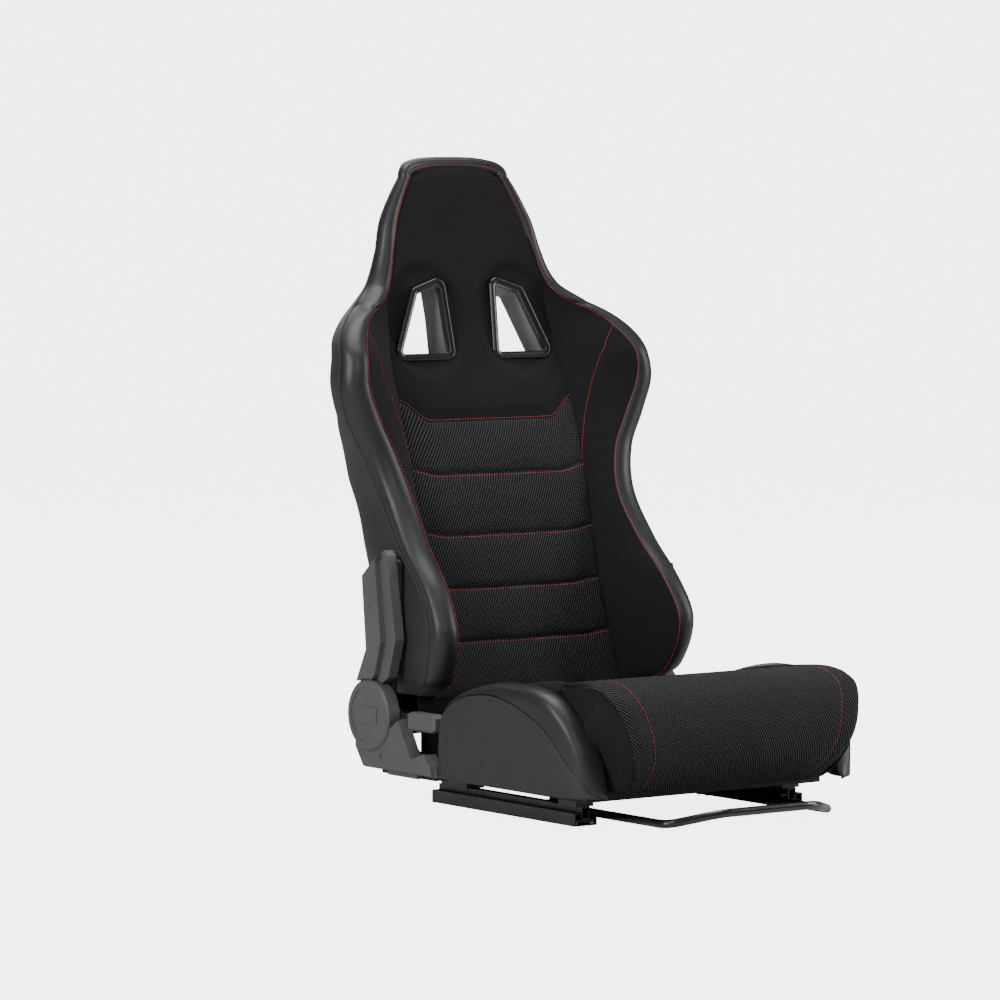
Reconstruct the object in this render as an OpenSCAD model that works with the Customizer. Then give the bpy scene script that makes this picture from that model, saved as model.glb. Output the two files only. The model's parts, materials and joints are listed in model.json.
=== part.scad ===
// Reclining bucket racing seat on a pair of slide rails.
// Origin: centre of the four floor bolts, at the underside of the rails. +Z up, the seat faces -Y,
// +X is the sitter's left. Millimetres.

/* [Slide rails] */
// Distance between the centre lines of the two rails
rail_spacing = 362; // [350:1:364]
// Length of each rail
rail_l = 335; // [330:1:345]
// Width of each lower rail
rail_w = 38; // [38:1:40]
// Height of each lower rail
rail_h = 18; // [18:0.5:18.5]
// Wall thickness of the rails
rail_t = 2; // [2:0.1:2.2]
// Distance between the floor bolt holes along a rail
bolt_spacing = 290; // [270:1:295]
// Diameter of the floor bolt holes
bolt_hole_d = 8.5; // [8.4:0.1:9]
// Greatest slide of the seat each way
travel = 80; // [50:1:85]

/* [Towel bar] */
// Diameter of the bar under the front of the cushion
bar_d = 12; // [10:0.5:12]
// Half of the distance between the bar's two legs
bar_leg_x = 142; // [140:1:143]
// How far the grip stands in front of the origin
bar_reach = 338; // [330:1:345]

/* [Cushion] */
// Half width of the cushion at the outside of the side bolsters
cushion_half_w = 255; // [252:1:256]
// Half width of the flat middle of the cushion
middle_half_w = 190; // [186:1:190]
// Inner face of the side bolsters
bolster_in = 215; // [215:1:217]

/* [Recliner] */
// Recline axis: distance behind the origin
hinge_y = 239; // [238:1:240]
// Recline axis: height above the floor
hinge_z = 121; // [120:1:122]
// Diameter of the round hub covers
hub_d = 102; // [100:1:102]
// Outer face of the recliner covers
cover_out = 262; // [261:1:264]

/* [Backrest] */
// Thickness of the moulded rear shell
shell_t = 9; // [8:0.5:9]
// Thickness of the foam pads of the backrest
pad_t = 38; // [34:1:38]
// Lean of the panel that holds the harness slots, degrees
slot_lean = 10.8; // [10:0.1:12]
// Width of the moulded frame round each harness slot
bezel_w = 11.5; // [10:0.5:12]

/* [Hidden] */
$fn = 48;
rail_x = rail_spacing / 2;
pad_crown = 4;
pan_z = 36;
cushion_z = 46;
arm_in = 232;
arm_t = 6;
shaft_r = 6;
run_gap = 0.05;

// Front face of the backrest's middle panel: [height, Y]
panel_line = [[142, 198], [223, 220], [298, 240], [375, 258], [464, 280], [559, 312], [627, 341],
              [732, 365], [820, 383], [904, 399]];
// Rear face of the shell on the centre line: [height, Y]
rear_line = [[142, 300], [241, 330], [332, 352], [389, 365], [445, 385], [537, 394], [605, 400],
             [680, 407], [732, 416], [825, 434], [880, 430], [904, 416]];
// Padded edge roll of the backrest: [height, centre X, centre Y, radius, direction of its inner seam]
roll_line = [[148, 194, 190, 12, 240], [166, 201, 158, 21, 236], [182, 204, 144, 22, 234],
             [219, 208, 130, 23, 234], [255, 209, 131, 23, 234], [304, 204, 161, 23.5, 234],
             [356, 200, 212, 25, 234], [423, 196, 260, 27, 236], [485, 209, 284, 28, 237],
             [537, 233, 289, 28, 236], [585, 250, 286, 25, 237], [624, 248, 289, 23, 245],
             [650, 240, 305, 22, 236], [677, 219, 325, 18, 215], [704, 175, 356, 20, 214],
             [725, 149, 373, 19, 243], [774, 127, 384, 16, 262], [825, 110, 392, 13, 266],
             [880, 82, 397, 8, 262], [896, 64, 402, 7, 262]];
// Seam between the middle panel and the wings: [height, X]
edge_line = [[142, 166], [223, 160], [298, 155], [559, 155], [715, 143], [904, 143]];
// How square the rear corners of the shell are: [height, exponent]
corner_line = [[142, 4.5], [450, 4.5], [540, 2.4], [904, 2.2]];

function row(t, z, i = 0) = (i >= len(t) - 2 || z < t[i + 1][0]) ? i : row(t, z, i + 1);
function grade(t, i, c) =
    let(a = max(i - 1, 0), b = min(i + 1, len(t) - 1)) (t[b][c] - t[a][c]) / (t[b][0] - t[a][0]);
// Smooth curve through column c of a table whose first column is the height
function at(t, z, c = 1) =
    let(
        i = row(t, z),
        h = t[i + 1][0] - t[i][0],
        u = min(max((z - t[i][0]) / h, 0), 1),
        v = u * u * (3 - 2 * u)
    )
    t[i][c] * (1 - v) + t[i + 1][c] * v
    + h * (u * pow(1 - u, 2) * grade(t, i, c) - u * u * (1 - u) * grade(t, i + 1, c));
function seam_angle(z) = lookup(z, [for (r = roll_line) [r[0], r[4]]]);
function roll_at(z, a) =
    [at(roll_line, z, 1) + at(roll_line, z, 3) * cos(a), at(roll_line, z, 2) + at(roll_line, z, 3) * sin(a)];
function roll_mid(z) = [at(roll_line, z, 1), at(roll_line, z, 2)];
function roll_seam(z) = roll_at(z, seam_angle(z));
function panel_y(z) = at(panel_line, z);
function edge_x(z) = min(at(edge_line, z), roll_seam(z)[0]);
// Rear face of the shell at half width x; inset makes the parallel inner face
function rear_y(x, z, inset = 0) =
    let(
        a = at(roll_line, z, 1) + at(roll_line, z, 3) - inset,
        y0 = at(roll_line, z, 2),
        e = lookup(z, corner_line),
        q = max(1 - pow(min(abs(x) / a, 1), e), 0)
    )
    y0 + (at(rear_line, z) - inset - y0) * pow(q, 1 / e);
// Front face of the middle panel: level in the middle, meeting the edge seam on each side
function front_y(x, z) =
    let(w = edge_x(z), side = roll_seam(z)[1], mid = panel_y(z))
    mid + (side - mid) * pow(abs(x) / w, 3) * max(min((z - 700) / 40, 1), 0)
    - pad_crown * (1 - pow(x / w, 2));
function pad_rear_y(x, z) =
    min(panel_y(z) + pad_t + pad_crown * (1 - pow(x / edge_x(z), 2)), rear_y(x, z, shell_t + 2.8));

function steps(a, b, n) = [for (i = [0:n]) a + (b - a) * i / n];
function lift(ring, z) = [for (p = ring) [p[0], p[1], z]];

// Closed solid through a list of rings that have the same number of points, lowest ring first,
// each ring anticlockwise as seen from above
module skin(rings) {
    n = len(rings[0]);
    m = len(rings);
    polyhedron(
        points = [for (r = rings) for (p = r) p],
        faces = concat(
            [[for (i = [0:n - 1]) i]],
            [[for (i = [n - 1:-1:0]) (m - 1) * n + i]],
            [for (k = [0:m - 2]) for (i = [0:n - 1])
                let(a = k * n + i, b = k * n + (i + 1) % n) [a, a + n, b]],
            [for (k = [0:m - 2]) for (i = [0:n - 1])
                let(a = k * n + i, b = k * n + (i + 1) % n) [b, a + n, b + n]]
        ),
        convexity = 6
    );
}

// Profile drawn in the Y-Z plane and stretched along X from x0 to x1
module along_x(x0, x1) {
    translate([x0, 0, 0])
        rotate([90, 0, 90])
            linear_extrude(height = x1 - x0) children();
}

module pair() {
    children();
    mirror([1, 0, 0]) children();
}

// ---------- slide rails ----------

module lower_rail() {
    lip = 8.5;
    difference() {
        translate([-rail_w / 2, -rail_l / 2, 0]) cube([rail_w, rail_l, rail_h]);
        translate([-rail_w / 2 + rail_t, -rail_l / 2 - 1, rail_t])
            cube([rail_w - 2 * rail_t, rail_l + 2, rail_h - 2 * rail_t]);
        translate([-rail_w / 2 + rail_t + lip, -rail_l / 2 - 1, rail_t])
            cube([rail_w - 2 * (rail_t + lip), rail_l + 2, rail_h]);
        for (y = [-1, 1] * bolt_spacing / 2)
            translate([0, y, -1]) cylinder(d = bolt_hole_d, h = rail_t + 2);
        for (i = [0:14])
            translate([-rail_w / 2 - 1, -84 + i * 12, rail_h - 9]) cube([rail_t + 2, 6, 4]);
    }
}
module lower_rail_left() {
    color("#17181a") translate([rail_x, 0, 0]) lower_rail();
}
module lower_rail_right() {
    color("#17181a") mirror([1, 0, 0]) translate([rail_x, 0, 0]) lower_rail();
}

module travel_stop() {
    translate([rail_x - 6, -8, rail_t]) cube([12, 16, 3]);
}
module travel_stop_left() { color("#202124") travel_stop(); }
module travel_stop_right() { color("#202124") mirror([1, 0, 0]) travel_stop(); }

// Low-friction strip along each inner corner of the lower rail, which the upper rail runs on
module glide_strips() {
    for (s = [-1, 1])
        translate([rail_x + s * 13.5 - 2.5, -rail_l / 2 + 4, rail_t]) cube([5, rail_l - 8, 3]);
}
module glide_strips_left() { color("#e8e4d8") glide_strips(); }
module glide_strips_right() { color("#e8e4d8") mirror([1, 0, 0]) glide_strips(); }

foot_z = 5.3;
module upper_rail() {
    web_w = 14;
    foot_w = 31;
    top_z = 26;
    difference() {
        union() {
            translate([rail_x - web_w / 2, -rail_l / 2, foot_z]) cube([web_w, rail_l, top_z - foot_z]);
            translate([rail_x - foot_w / 2, -rail_l / 2 + 2, foot_z]) cube([foot_w, rail_l - 4, 3.5]);
            for (y = [-1, 1] * (travel + 13))
                translate([rail_x - 6, y - 4, 3]) cube([12, 8, 4]);
        }
        translate([rail_x - web_w / 2 + 2, -rail_l / 2 - 1, foot_z + 5.5])
            cube([web_w - 4, rail_l + 2, top_z - foot_z - 7.5]);
    }
}
module upper_rail_left() { color("#141516") upper_rail(); }
module upper_rail_right() { color("#141516") mirror([1, 0, 0]) upper_rail(); }

// ---------- carrier on top of the rails ----------

riser_top = pan_z;
module riser(y, l) {
    translate([rail_x - 15, y - l / 2, 26]) cube([30, l, riser_top - 26]);
}
module risers_front() { color("#101011") pair() riser(-145, 40); }
module risers_rear() { color("#101011") pair() riser(120, 62); }

module riser_bolts() {
    color("#3a3b3d")
        for (s = [-1, 1])
            for (y = [-150, 105, 135])
                translate([s * rail_x, y, pan_z + 3]) cylinder(d = 13, h = 5, $fn = 6);
}

module seat_pan() {
    color("#161718")
        difference() {
            translate([-205, -200, pan_z]) cube([410, 425, cushion_z - pan_z]);
            translate([-150, -150, pan_z - 1]) cube([300, 320, 20]);
            for (s = [-1, 1])
                for (y = [-150, 105, 135])
                    translate([s * rail_x, y, pan_z + 3]) cylinder(d = 18, h = 20);
        }
}

module cushion_springs() {
    color("#6d6f72")
        for (y = [-120, -60, 0, 60, 120])
            translate([-158, y, pan_z + 5]) rotate([0, 90, 0]) cylinder(d = 4, h = 316, $fn = 16);
}

// ---------- cushion ----------

// Front roll from the back of its top, over the nose and under: [Y, Z]
roll_profile = concat(
    [[-152, 193], [-190, 199], [-222, 200], [-250, 196], [-272, 184], [-285, 165]],
    [for (a = [20:-14:-62]) [-196 - 98 * cos(a), 126 + 80 * sin(a)]],
    [[-235, 46.4], [-152, 46.4]]
);
function end_x(z) = min(171 + (z - 34) * 0.28, 214);

function sweep_ring(profile, f, inset) =
    [for (p = profile) [f * (end_x(p[1]) - inset), p[0], p[1]]];
module cushion_front_roll() {
    color("#2b2c2e")
        skin([for (f = [-1:0.25:1]) sweep_ring(roll_profile, f, 0)]);
}

module cushion_middle() {
    color("#27282a")
        intersection() {
            along_x(-middle_half_w, middle_half_w)
                polygon([[-151.6, 46.4], [190, 46.4], [190, 117], [176, 132], [120, 139], [50, 146],
                         [-20, 157], [-90, 174], [-151.6, 190]]);
            linear_extrude(height = 260)
                polygon([[-middle_half_w, -160], [middle_half_w, -160], [middle_half_w, 84],
                         [170, 104], [170, 200], [-170, 200], [-170, 104], [-middle_half_w, 84]]);
        }
}

// Plain fabric between the ends of the front roll, the middle and the bolsters
module flank() {
    color("#1b1b1d") {
        skin([for (f = [0:1])
            [for (p = [[-152, 190], [-190, 196], [-222, 196], [-256, 186], [-280, 158], [-288, 126],
                       [-284, 95], [-262, 62], [-228, 50], [-152, 47]])
                [end_x(p[1]) + (f == 0 ? 0.3 : max(min(6, bolster_in - 1.2 - end_x(p[1])), 0.6)),
                 p[0], p[1]]]]);
        along_x(middle_half_w + 0.2, bolster_in - 0.9)
            polygon([[-151.6, 47], [76, 47], [76, 110], [40, 150], [-40, 178], [-100, 192], [-151.6, 192]]);
    }
}
module cushion_flank_left() { flank(); }
module cushion_flank_right() { mirror([1, 0, 0]) flank(); }

// Side bolster from its front tip to its rear: [Y, top, inner face, outer face, top of the side panel]
bolster_line = [[-252, 52, 189, 220, 48], [-246, 64, 192, 225, 50], [-236, 92, 198, 232, 58],
                [-222, 124, 204, 240, 78], [-205, 150, 210, 246, 97], [-175, 176, 214, 252, 130],
                [-140, 188, 215, 255, 150], [-95, 191, 215, 255, 165], [-48, 189, 215, 255, 172],
                [10, 172, 215, 255, 162], [47, 155, 215, 255, 145], [70, 134, 215, 254, 124],
                [80, 112, 216, 251, 102]];
bolster_floor = 46;
function bolster_ring(b) =
    let(y = b[0], top = b[1], xi = b[2], xo = b[3], low = min(bolster_floor, top - 4))
    [[xi, y, low], [xi, y, top - 4], [xi + 6, y, top - 1.2], [(xi + xo) / 2 + 2, y, top],
     [xo - 9, y, top - 2], [xo - 1, y, max(top - 12, b[4])], [xo - 4, y, b[4]], [xo - 4, y, low]];
module bolster() {
    skin([for (b = bolster_line) bolster_ring(b)]);
}
module cushion_bolster_left() { color("#242628") bolster(); }
module cushion_bolster_right() { color("#242628") mirror([1, 0, 0]) bolster(); }

// Flat-faced panel on the outside of a bolster
module bolster_panel() {
    skin([for (b = bolster_line)
        let(y = b[0], x = b[3], top = b[4], low = bolster_floor)
        [[x - 4, y, low], [x - 4, y, top], [x - 1.5, y, top - 1], [x - 0.5, y, top - 5], [x - 0.5, y, low + 0.5]]]);
}
function shrink(p, c, k) = [for (q = p) c + (q - c) * k];
module bolster_panel_left() { color("#2e3032") bolster_panel(); }
module bolster_panel_right() { color("#2e3032") mirror([1, 0, 0]) bolster_panel(); }

// ---------- recliner: parts that stay with the cushion ----------

module hub_place(x) {
    translate([x, hinge_y, hinge_z]) rotate([0, 90, 0]) children();
}

// Steel bracket that carries the recline shaft
module recliner_bracket() {
    difference() {
        union() {
            along_x(223, 228)
                polygon([[120, pan_z], [250, pan_z], [268, 95], [266, 130], [252, 146], [226, 146],
                         [212, 130], [204, 100], [120, 46]]);
            translate([205, 120, pan_z]) cube([20, 100, 8]);
        }
        hub_place(215) cylinder(r = shaft_r + 0.3, h = 20);
    }
}
module recliner_bracket_left() { color("#111213") recliner_bracket(); }
module recliner_bracket_right() { color("#111213") mirror([1, 0, 0]) recliner_bracket(); }

module lower_cover() {
    chamfer = 10;
    outline = [[82, 45.5], [259, 45.5], [279, 74], [279, 90], [184, 110], [168, 121], [135, 66],
               [102, 77], [86, 60]];
    difference() {
        union() {
            along_x(cover_out - 22, cover_out - chamfer) polygon(outline);
            along_x(cover_out - chamfer, cover_out - 4) polygon(shrink(outline, [185, 85], 0.95));
            along_x(228.3, cover_out - 22)
                polygon([[100, 46.5], [240, 46.5], [240, 60], [120, 60]]);
            translate([cover_out - 24, 130, 39.5]) cube([14, 72, 6.5]);
        }
        hub_place(cover_out - 30) cylinder(d = hub_d + 0.6, h = 40);
        translate([cover_out - 6, 212, 66]) rotate([0, 90, 0]) cylinder(d = 9, h = 10);
    }
}
module lower_cover_left() { color("#5e5f61") lower_cover(); }
module lower_cover_right() { color("#5e5f61") mirror([1, 0, 0]) lower_cover(); }

// Round hub cover with a raised plain pad
module hub_cover() {
    difference() {
        union() {
            hub_place(cover_out - 21) cylinder(d = hub_d, h = 18);
            hub_place(cover_out - 3) cylinder(d1 = hub_d, d2 = hub_d - 6, h = 3);
        }
        hub_place(cover_out - 22) cylinder(d = 30, h = 12);
        hub_place(cover_out - 1.2) cylinder(d = hub_d - 22, h = 5);
    }
    translate([cover_out - 1.3, hinge_y - 22, hinge_z - 12]) cube([1.3, 44, 24]);
}
module hub_cover_left() { color("#626365") hub_cover(); }
module hub_cover_right() { color("#626365") mirror([1, 0, 0]) hub_cover(); }

module recliner_core() {
    difference() {
        hub_place(228) cylinder(d = 56, h = arm_in - 228 - 0.3);
        hub_place(225) cylinder(r = shaft_r + 0.3, h = 20);
    }
}
module recliner_core_left() { color("#3c3d40") recliner_core(); }
module recliner_core_right() { color("#3c3d40") mirror([1, 0, 0]) recliner_core(); }

module recline_shaft() {
    color("#8b8d90") hub_place(-(cover_out - 14)) cylinder(r = shaft_r, h = 2 * (cover_out - 14));
}

module cover_screws() {
    color("#4a4b4d")
        pair() translate([cover_out - 6, 212, 66]) rotate([0, 90, 0]) cylinder(d = 8.6, h = 2.4);
}

// ---------- recline lever ----------

lever_out = -(arm_in + arm_t);
module lever_arm() {
    color("#1c1d1f")
        difference() {
            union() {
                hub_place(lever_out - 1.9) cylinder(d = 26, h = 1.5);
                translate([lever_out - 1.9, 150, hinge_z - 7]) cube([1.5, hinge_y - 150, 14]);
            }
            hub_place(lever_out - 5) cylinder(r = shaft_r + run_gap, h = 10);
        }
}
module lever_grip() {
    color("#5a5b5d")
        union() {
            translate([-254, 90, 110])
                hull() {
                    cube([20, 60, 20]);
                    translate([2, -4, 2]) cube([16, 6, 16]);
                    translate([3, 4, -3]) cube([14, 52, 26]);
                }
        }
}

// ---------- towel bar ----------

bar_z = 12;
bar_pivot = [0, -30, bar_z];
eye_r = 8;
// Corners of the bar's centre line, from the left pivot round to the right one
bar_corners = [[bar_leg_x, bar_pivot[1] - eye_r - 0.2, bar_z], [bar_leg_x, -297, bar_z], [84, -bar_reach, 27],
               [-84, -bar_reach, 27], [-bar_leg_x, -297, bar_z],
               [-bar_leg_x, bar_pivot[1] - eye_r - 0.2, bar_z]];
bend_l = 18;
function unit(v) = v / norm(v);
// Rounded corner at b between a and c, as a short quadratic curve
function bend(a, b, c, n = 5) =
    let(p = b + unit(a - b) * bend_l, q = b + unit(c - b) * bend_l)
    [for (t = steps(0, 1, n)) p * pow(1 - t, 2) + b * 2 * t * (1 - t) + q * t * t];
bar_route = concat(
    [bar_corners[0]],
    [for (i = [1:len(bar_corners) - 2]) each bend(bar_corners[i - 1], bar_corners[i], bar_corners[i + 1])],
    [bar_corners[len(bar_corners) - 1]]
);
function tube_ring(route, i, r, n = 16) =
    let(
        t = unit(route[min(i + 1, len(route) - 1)] - route[max(i - 1, 0)]),
        side = unit(cross(t, [0, 0, 1])),
        up = cross(t, side)
    )
    [for (k = [0:n - 1]) route[i] + r * (side * cos(k * 360 / n) + up * sin(k * 360 / n))];
function heading(v) = [0, acos(v[2] / norm(v)), atan2(v[1], v[0])];
module rod(a, b, d) {
    translate(a) rotate(heading(b - a)) cylinder(d = d, h = norm(b - a), $fn = 24);
}
module towel_bar() {
    color("#0d0e0f") skin([for (i = [0:len(bar_route) - 1]) tube_ring(bar_route, i, bar_d / 2)]);
}
// Toothed plate beside the row of slots in the rail, with the eye that turns on the pivot
module latch_plate() {
    difference() {
        union() {
            translate([bar_leg_x - 5, bar_pivot[1], bar_z]) rotate([0, 90, 0]) cylinder(r = eye_r, h = 14);
            translate([bar_leg_x + bar_d / 2, -95, bar_z - 5]) cube([3, 65, 10]);
        }
        translate([bar_leg_x - 10, bar_pivot[1], bar_z]) rotate([0, 90, 0]) cylinder(r = 3 + run_gap, h = 30);
    }
    for (i = [0:2])
        translate([bar_leg_x + bar_d / 2 + 2.9, -93 + i * 12, bar_z - 3]) cube([8, 4, 4]);
}
module latch_plate_left() { color("#2c2d2f") latch_plate(); }
module latch_plate_right() { color("#2c2d2f") mirror([1, 0, 0]) latch_plate(); }

// Hangers that hold the bar's pivots under the pan
module bar_hangers() {
    color("#151617")
        pair() {
            difference() {
                translate([bar_leg_x - 11, bar_pivot[1] - 8, bar_z - 6]) cube([4, 16, pan_z - bar_z + 6]);
                translate([bar_leg_x - 12, bar_pivot[1], bar_z]) rotate([0, 90, 0]) cylinder(r = 3, h = 10);
            }
            translate([bar_leg_x - 11, bar_pivot[1] - 8, pan_z - 4]) cube([22, 16, 4]);
        }
}
module bar_pivots() {
    color("#9a9c9f")
        pair() translate([bar_leg_x - 22, bar_pivot[1], bar_z]) rotate([0, 90, 0]) cylinder(r = 3, h = 32);
}
module bar_springs() {
    color("#a7a9ab")
        pair()
            for (i = [0:2])
                translate([bar_leg_x - 15.4 - i * 2.2, bar_pivot[1], bar_z])
                    rotate([0, 90, 0]) rotate_extrude() translate([4.2, 0]) circle(d = 2, $fn = 16);
}

// ---------- backrest ----------

slot_shape = [[43, 732], [94, 720], [141, 639], [34, 627]];
slot_round = 14;
slot_z = 680;
slot_y = panel_y(slot_z);
// Harness slot outline, drawn in the tilted plane of the pad and pulled in by the given amount
module slot_outline(inset) {
    r = max(slot_round - inset, 4);
    hull()
        for (p = [[54, 719.5], [88, 708], [123, 628], [48.5, 628]])
            translate(p - [0, slot_z]) circle(r = r, $fn = 32);
}
// Children drawn flat in X and height are stood up in the plane of the harness slots
module slot_plane(y0, depth) {
    translate([0, slot_y, slot_z])
        rotate([-slot_lean, 0, 0])
            translate([0, y0 + depth, 0])
                rotate([90, 0, 0]) linear_extrude(height = depth) children();
}
module slot_cut(inset) {
    pair() slot_plane(-40, 160) slot_outline(inset);
}

module back_frame() {
    tube = 16;
    low = [179, 266, 165];
    high = [179, 350, 520];
    color("#2a2b2d")
        difference() {
            union() {
                pair() rod(low, high, tube);
                rod([-high[0], high[1], high[2]], high, tube);
                rod([-179, 274.3, 200], [179, 274.3, 200], tube);
                pair() along_x(186, 191) polygon([[210, 218], [280, 210], [302, 310], [212, 316]]);
                pair() translate(high) sphere(d = tube + 2, $fn = 24);
            }
            pair() arm_bolt_holes(4);
        }
}
arm_bolt_places = [[222, 232], [222, 300]];
module arm_bolt_holes(r) {
    for (p = arm_bolt_places)
        translate([170, p[0], p[1]]) rotate([0, 90, 0]) cylinder(r = r, h = 80, $fn = 24);
}
module arm_bolts() {
    color("#3a3b3d")
        pair()
            for (p = arm_bolt_places)
                translate([0, p[0], p[1]]) rotate([0, 90, 0]) {
                    translate([0, 0, 181]) cylinder(d = 13, h = 5, $fn = 6);
                    translate([0, 0, 185]) cylinder(r = 4, h = arm_in + arm_t - 185);
                    translate([0, 0, 191]) cylinder(r = 8, h = 25);
                }
}
module back_wires() {
    color("#6d6f72")
        for (z = [250, 310, 370, 430])
            translate([-174, 266 + (z - 165) * 0.2366, z])
                rotate([0, 90, 0]) cylinder(d = 4, h = 348, $fn = 16);
}

// Space left between neighbouring padded parts
soft_gap = 0.8;
function pad_ring(z, n = 8) =
    let(w = edge_x(z) - soft_gap)
    lift(concat(
        [for (x = steps(-w, w, n)) [x, front_y(x, z)]],
        [for (x = steps(w, -w, n)) [x, pad_rear_y(x, z)]]
    ), z);
module middle_panel() {
    color("#2b2c2e") skin([for (z = steps(142, 545, 16)) pad_ring(z)]);
}
module upper_pad() {
    color("#1a1a1c")
        difference() {
            skin([for (z = concat(steps(545, 880, 20), [890, 896])) pad_ring(z)]);
            slot_cut(7.5);
            pair() slot_plane(-12, 13) slot_outline(-0.4);
        }
}

function wing_ring(z) =
    let(
        t = seam_angle(z) - 90,
        off = 2 * soft_gap * [cos(t), sin(t)],
        s = roll_seam(z) + off,
        w = min(edge_x(z) + soft_gap, s[0] - 0.2),
        a = [w, panel_y(z)]
    )
    lift([a, a * 0.6 + s * 0.4 + [2, 4], s, roll_mid(z) + off, [w, pad_rear_y(w, z)]], z);
// Heights shared by the wings and the edge rolls, so that their facing sides run parallel
roll_levels = concat(steps(148, 176, 3), steps(186, 886, 44), [892, 896]);
module wing() {
    skin([for (z = roll_levels) if (z > 152 && z < 698) wing_ring(z)]);
}
module wing_left() { color("#19191b") wing(); }
module wing_right() { color("#19191b") mirror([1, 0, 0]) wing(); }

function edge_roll_ring(z) =
    lift(concat([for (a = steps(seam_angle(z), 352, 8)) roll_at(z, a)], [roll_mid(z) - [0, 1.5 * soft_gap]]), z);
module edge_roll() {
    skin([for (z = roll_levels) edge_roll_ring(z)]);
}
module edge_roll_left() { color("#242628") edge_roll(); }
module edge_roll_right() { color("#242628") mirror([1, 0, 0]) edge_roll(); }

// Leather cap that closes the top of the head in a shallow arch
module head_cap() {
    color("#242628")
        skin([for (q = [[896.2, 1], [898.6, 0.93], [901.4, 0.76], [903.6, 0.54], [904.9, 0.3]])
            let(w = (at(roll_line, 896, 1) + 5) * q[1], d = 8 * q[1] + 1)
            lift(concat(
                [for (x = steps(-w, w, 8)) [x, 406 - d * (1 - 0.5 * pow(x / w, 2))]],
                [for (x = steps(w, -w, 8)) [x, 406 + d * (1 - 0.5 * pow(x / w, 2))]]
            ), q[0])]);
}

function shell_ring(z) =
    let(
        a = at(roll_line, z, 1) + at(roll_line, z, 3),
        c = [for (t = steps(0, 180, 14)) sign(cos(t)) * pow(abs(cos(t)), 0.7)],
        g = 0.1
    )
    lift(concat(
        [for (k = c) [a * k, rear_y(a * k, z) + g]],
        [for (i = [len(c) - 1:-1:0]) let(k = c[i]) [(a - shell_t) * k, rear_y((a - shell_t) * k, z, shell_t) + g]]
    ), z);
module back_shell() {
    color("#2f3134")
        difference() {
            skin([for (z = concat(steps(148, 700, 20), steps(718, 896, 8))) shell_ring(z)]);
            slot_cut(7.5);
            pair() arm_bolt_holes(5);
        }
}

module slot_bezel(y0, depth) {
    slot_plane(y0, depth)
        difference() {
            slot_outline(0);
            slot_outline(bezel_w);
        }
}
module slot_bezel_left() { color("#1f2226") slot_bezel(-4, 4.5); }
module slot_bezel_right() { color("#1f2226") mirror([1, 0, 0]) slot_bezel(-4, 4.5); }

module slot_liner() {
    slot_plane(0.5, 46)
        difference() {
            slot_outline(8.5);
            slot_outline(bezel_w);
        }
}
module slot_liner_left() { color("#6f7072") slot_liner(); }
module slot_liner_right() { color("#6f7072") mirror([1, 0, 0]) slot_liner(); }

// The sitter's left arm and its cover end lower than the right ones
left_arm_top = 316;
module shorten() {
    difference() {
        children();
        translate([190, 150, left_arm_top]) cube([80, 150, 60]);
    }
}

module recliner_arm() {
    difference() {
        along_x(arm_in, arm_in + arm_t)
            polygon(concat(
                [for (a = [150:15:390]) [hinge_y + 36 * cos(a), hinge_z + 36 * sin(a)]],
                [[262, 180], [244, 222], [245, 318], [212, 346], [196, 340], [192, 230], [206, 178]]
            ));
        hub_place(arm_in - 5) cylinder(r = shaft_r + run_gap, h = 20);
        arm_bolt_holes(4);
    }
}
module recliner_arm_left() { color("#0f1011") shorten() recliner_arm(); }
module recliner_arm_right() { color("#0f1011") mirror([1, 0, 0]) recliner_arm(); }

module arm_cover() {
    outline = [[210, 356], [254, 320], [244, 215], [269, 166], [215, 168], [199, 177], [181, 231], [202, 349]];
    face = [[214, 350], [252, 318], [242, 215], [266, 168], [233, 170], [221, 179], [205, 227], [220, 341]];
    difference() {
        union() {
            along_x(arm_in + arm_t, cover_out - 9) polygon(outline);
            along_x(cover_out - 9, cover_out) polygon(face);
        }
        hub_place(arm_in) cylinder(d = hub_d + 2, h = 60);
        translate([cover_out - 2, 228, 276]) rotate([0, 90, 0]) cylinder(d = 10, h = 10);
    }
}
module arm_cover_left() { color("#5e5f61") shorten() arm_cover(); }
module arm_cover_right() { color("#5e5f61") mirror([1, 0, 0]) arm_cover(); }

module arm_plugs() {
    color("#55565a")
        pair() translate([cover_out - 2, 228, 276]) rotate([0, 90, 0]) cylinder(d = 9.6, h = 1.6);
}

lower_rail_left();
lower_rail_right();
travel_stop_left();
travel_stop_right();
glide_strips_left();
glide_strips_right();
upper_rail_left();
upper_rail_right();
risers_front();
risers_rear();
riser_bolts();
seat_pan();
cushion_springs();
cushion_middle();
cushion_front_roll();
cushion_flank_left();
cushion_flank_right();
cushion_bolster_left();
cushion_bolster_right();
bolster_panel_left();
bolster_panel_right();
recliner_bracket_left();
recliner_bracket_right();
recliner_core_left();
recliner_core_right();
lower_cover_left();
lower_cover_right();
hub_cover_left();
hub_cover_right();
recline_shaft();
cover_screws();
bar_hangers();
bar_pivots();
bar_springs();
lever_arm();
lever_grip();
towel_bar();
latch_plate_left();
latch_plate_right();
back_frame();
back_wires();
middle_panel();
upper_pad();
wing_left();
wing_right();
edge_roll_left();
edge_roll_right();
head_cap();
back_shell();
slot_bezel_left();
slot_bezel_right();
slot_liner_left();
slot_liner_right();
recliner_arm_left();
recliner_arm_right();
arm_cover_left();
arm_cover_right();
arm_plugs();
arm_bolts();
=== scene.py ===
import math
import json

import bmesh
import bpy
from mathutils import Matrix, Vector


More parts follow.
